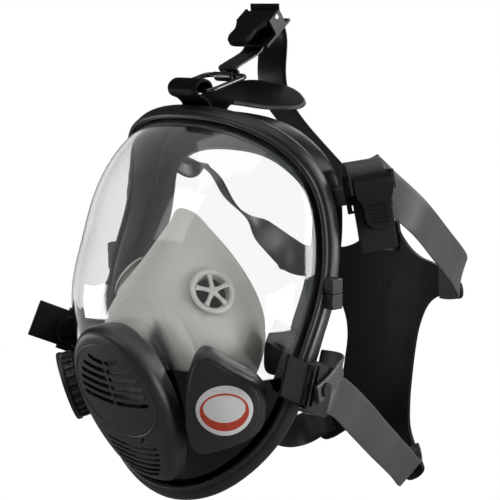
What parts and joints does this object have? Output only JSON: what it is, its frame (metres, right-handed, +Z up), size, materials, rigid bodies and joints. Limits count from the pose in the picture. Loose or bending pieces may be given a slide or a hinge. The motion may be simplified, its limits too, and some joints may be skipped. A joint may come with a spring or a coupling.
{
  "type": "full face respirator",
  "caption": "Full face respirator with a wide curved lens, two part clamp frame, rubber face blank, inner half mask, vented front unit, side ports and a buckled rubber head harness.",
  "frame": {"origin": "middle of the face seal plane, where the wearer's face meets the mask", "axes": "+Z up towards the crown, +Y towards the wearer's head (out of the back of the mask), +X towards the wearer's left"},
  "size_m": [0.225, 0.2808, 0.3435],
  "materials": {
    "badge": "printed disc, white with a red crescent",
    "blanking_cover": "smooth satin dark grey",
    "buckle_body_lower_left": "black coated plate",
    "buckle_body_lower_right": "black coated plate",
    "buckle_body_temple_left": "black coated plate",
    "buckle_body_temple_right": "black coated plate",
    "buckle_body_top": "black coated plate",
    "buckle_lever_lower_left": "satin black thumb lever, grooved",
    "buckle_lever_lower_right": "satin black thumb lever, grooved",
    "buckle_lever_temple_left": "satin black thumb lever, grooved",
    "buckle_lever_temple_right": "satin black thumb lever, grooved",
    "buckle_lever_top": "satin black thumb lever, grooved",
    "buckle_pin_lower_left": "steel pin",
    "buckle_pin_lower_right": "steel pin",
    "buckle_pin_temple_left": "steel pin",
    "buckle_pin_temple_right": "steel pin",
    "buckle_pin_top": "steel pin",
    "diaphragm_ring": "black nylon",
    "exhale_flap": "thin silicone disc",
    "exhale_seat": "black nylon",
    "face_blank": "satin black moulded rubber",
    "forehead_tab": "matte dark grey rubber",
    "forehead_tongue": "satin black rubber",
    "frame_lower": "satin black moulded nylon",
    "frame_nut_left": "satin steel",
    "frame_nut_right": "satin steel",
    "frame_screw_left": "fine satin steel",
    "frame_screw_right": "fine satin steel",
    "frame_upper": "satin black moulded nylon",
    "front_cover": "dark grey fine spark texture",
    "front_housing": "black moulded nylon",
    "half_mask": "warm grey silicone, satin",
    "harness_pad": "matte dark grey moulded rubber",
    "housing_nut": "black nylon",
    "inhale_flap_left": "thin dark silicone disc",
    "inhale_flap_right": "thin dark silicone disc",
    "inhale_seat_left": "grey-brown moulded plastic",
    "inhale_seat_right": "grey-brown moulded plastic",
    "lens": "clear scratch resistant coating, hard gloss",
    "lug_lower_left": "smooth dark rubber",
    "lug_lower_right": "smooth dark rubber",
    "lug_temple_left": "smooth dark rubber",
    "lug_temple_right": "smooth dark rubber",
    "port_body_left": "black nylon, satin",
    "port_body_right": "black nylon, satin",
    "port_flap": "thin silicone disc",
    "port_valve_seat": "black nylon",
    "rivet_lower_left": "steel rivet",
    "rivet_lower_right": "steel rivet",
    "rivet_temple_left": "steel rivet",
    "rivet_temple_right": "steel rivet",
    "rivet_top": "steel rivet",
    "speech_diaphragm": "thin translucent film",
    "strap_lower_left": "smooth grey rubber band, woven tail",
    "strap_lower_right": "smooth grey rubber band, woven tail",
    "strap_temple_left": "smooth grey rubber band, woven tail",
    "strap_temple_right": "smooth grey rubber band, woven tail",
    "strap_top": "smooth grey rubber band, woven tail",
    "top_link": "bent steel plate",
    "top_ring": "black coated wire"
  },
  "bodies": {
    "mask": {"buckle_body_lower_left": "buckle_body_lower_left", "buckle_body_lower_right": "buckle_body_lower_right", "buckle_body_temple_left": "buckle_body_temple_left", "buckle_body_temple_right": "buckle_body_temple_right", "buckle_body_top": "buckle_body_top", "buckle_pin_lower_left": "buckle_pin_lower_left", "buckle_pin_lower_right": "buckle_pin_lower_right", "buckle_pin_temple_left": "buckle_pin_temple_left", "buckle_pin_temple_right": "buckle_pin_temple_right", "buckle_pin_top": "buckle_pin_top", "diaphragm_ring": "diaphragm_ring", "exhale_seat": "exhale_seat", "face_blank": "face_blank", "forehead_tab": "forehead_tab", "forehead_tongue": "forehead_tongue", "frame_lower": "frame_lower", "frame_nut_left": "frame_nut_left", "frame_nut_right": "frame_nut_right", "frame_screw_left": "frame_screw_left", "frame_screw_right": "frame_screw_right", "frame_upper": "frame_upper", "front_housing": "front_housing", "half_mask": "half_mask", "harness_pad": "harness_pad", "housing_nut": "housing_nut", "inhale_seat_left": "inhale_seat_left", "inhale_seat_right": "inhale_seat_right", "lens": "lens", "lug_lower_left": "lug_lower_left", "lug_lower_right": "lug_lower_right", "lug_temple_left": "lug_temple_left", "lug_temple_right": "lug_temple_right", "port_body_left": "port_body_left", "port_body_right": "port_body_right", "port_valve_seat": "port_valve_seat", "rivet_lower_left": "rivet_lower_left", "rivet_lower_right": "rivet_lower_right", "rivet_temple_left": "rivet_temple_left", "rivet_temple_right": "rivet_temple_right", "rivet_top": "rivet_top", "speech_diaphragm": "speech_diaphragm", "strap_lower_left": "strap_lower_left", "strap_lower_right": "strap_lower_right", "strap_temple_left": "strap_temple_left", "strap_temple_right": "strap_temple_right", "strap_top": "strap_top", "top_link": "top_link", "top_ring": "top_ring"},
    "lever_temple_right": {"buckle_lever_temple_right": "buckle_lever_temple_right"},
    "lever_temple_left": {"buckle_lever_temple_left": "buckle_lever_temple_left"},
    "lever_lower_right": {"buckle_lever_lower_right": "buckle_lever_lower_right"},
    "lever_lower_left": {"buckle_lever_lower_left": "buckle_lever_lower_left"},
    "lever_top": {"buckle_lever_top": "buckle_lever_top"},
    "inhale_valve_right": {"inhale_flap_right": "inhale_flap_right"},
    "inhale_valve_left": {"inhale_flap_left": "inhale_flap_left"},
    "exhale_valve": {"exhale_flap": "exhale_flap"},
    "port_valve": {"port_flap": "port_flap"},
    "front_cover_body": {"front_cover": "front_cover"},
    "blanking_plug": {"blanking_cover": "blanking_cover", "badge": "badge"}
  },
  "joints": [
    {"name": "lever_temple_right_hinge", "type": "hinge", "parent": "mask", "child": "lever_temple_right", "pos_m": [0.10042, -0.00116, 0.07465], "axis": [-0.5334, -0.8339, -0.1419], "range_deg": [0, 50]},
    {"name": "lever_temple_left_hinge", "type": "hinge", "parent": "mask", "child": "lever_temple_left", "pos_m": [-0.10042, -0.00116, 0.07465], "axis": [-0.5334, 0.8339, 0.1419], "range_deg": [0, 50]},
    {"name": "lever_lower_right_hinge", "type": "hinge", "parent": "mask", "child": "lever_lower_right", "pos_m": [0.09606, -0.04841, -0.04392], "axis": [0.0777, -0.4145, -0.9067], "range_deg": [0, 27]},
    {"name": "lever_lower_left_hinge", "type": "hinge", "parent": "mask", "child": "lever_lower_left", "pos_m": [-0.09606, -0.04841, -0.04392], "axis": [0.0777, 0.4145, 0.9067], "range_deg": [0, 27]},
    {"name": "lever_top_hinge", "type": "hinge", "parent": "mask", "child": "lever_top", "pos_m": [0, 0.01358, 0.16894], "axis": [-1, 0, 0], "range_deg": [0, 50]},
    {"name": "inhale_valve_right_lift", "type": "slide", "parent": "mask", "child": "inhale_valve_right", "axis": [-0.7835, 0.3225, -0.5312], "range_m": [0, 0.0012], "stiffness_N_per_m": 20, "springref_m": -0.0015},
    {"name": "inhale_valve_left_lift", "type": "slide", "parent": "mask", "child": "inhale_valve_left", "axis": [0.7835, 0.3225, -0.5312], "range_m": [0, 0.0012], "stiffness_N_per_m": 20, "springref_m": -0.0015},
    {"name": "exhale_valve_lift", "type": "slide", "parent": "mask", "child": "exhale_valve", "axis": [0, -0.9129, -0.4081], "range_m": [0, 0.0008], "stiffness_N_per_m": 20, "springref_m": -0.0015},
    {"name": "port_valve_lift", "type": "slide", "parent": "mask", "child": "port_valve", "axis": [0.6427, 0.6987, 0.3142], "range_m": [0, 0.001], "stiffness_N_per_m": 20, "springref_m": -0.0015},
    {"name": "front_cover_pull", "type": "slide", "parent": "mask", "child": "front_cover_body", "axis": [0, -0.97, -0.243], "range_m": [0, 0.02]},
    {"name": "blanking_cover_pull", "type": "slide", "parent": "mask", "child": "blanking_plug", "axis": [0.6427, -0.6987, -0.3142], "range_m": [0, 0.015]}
  ]
}
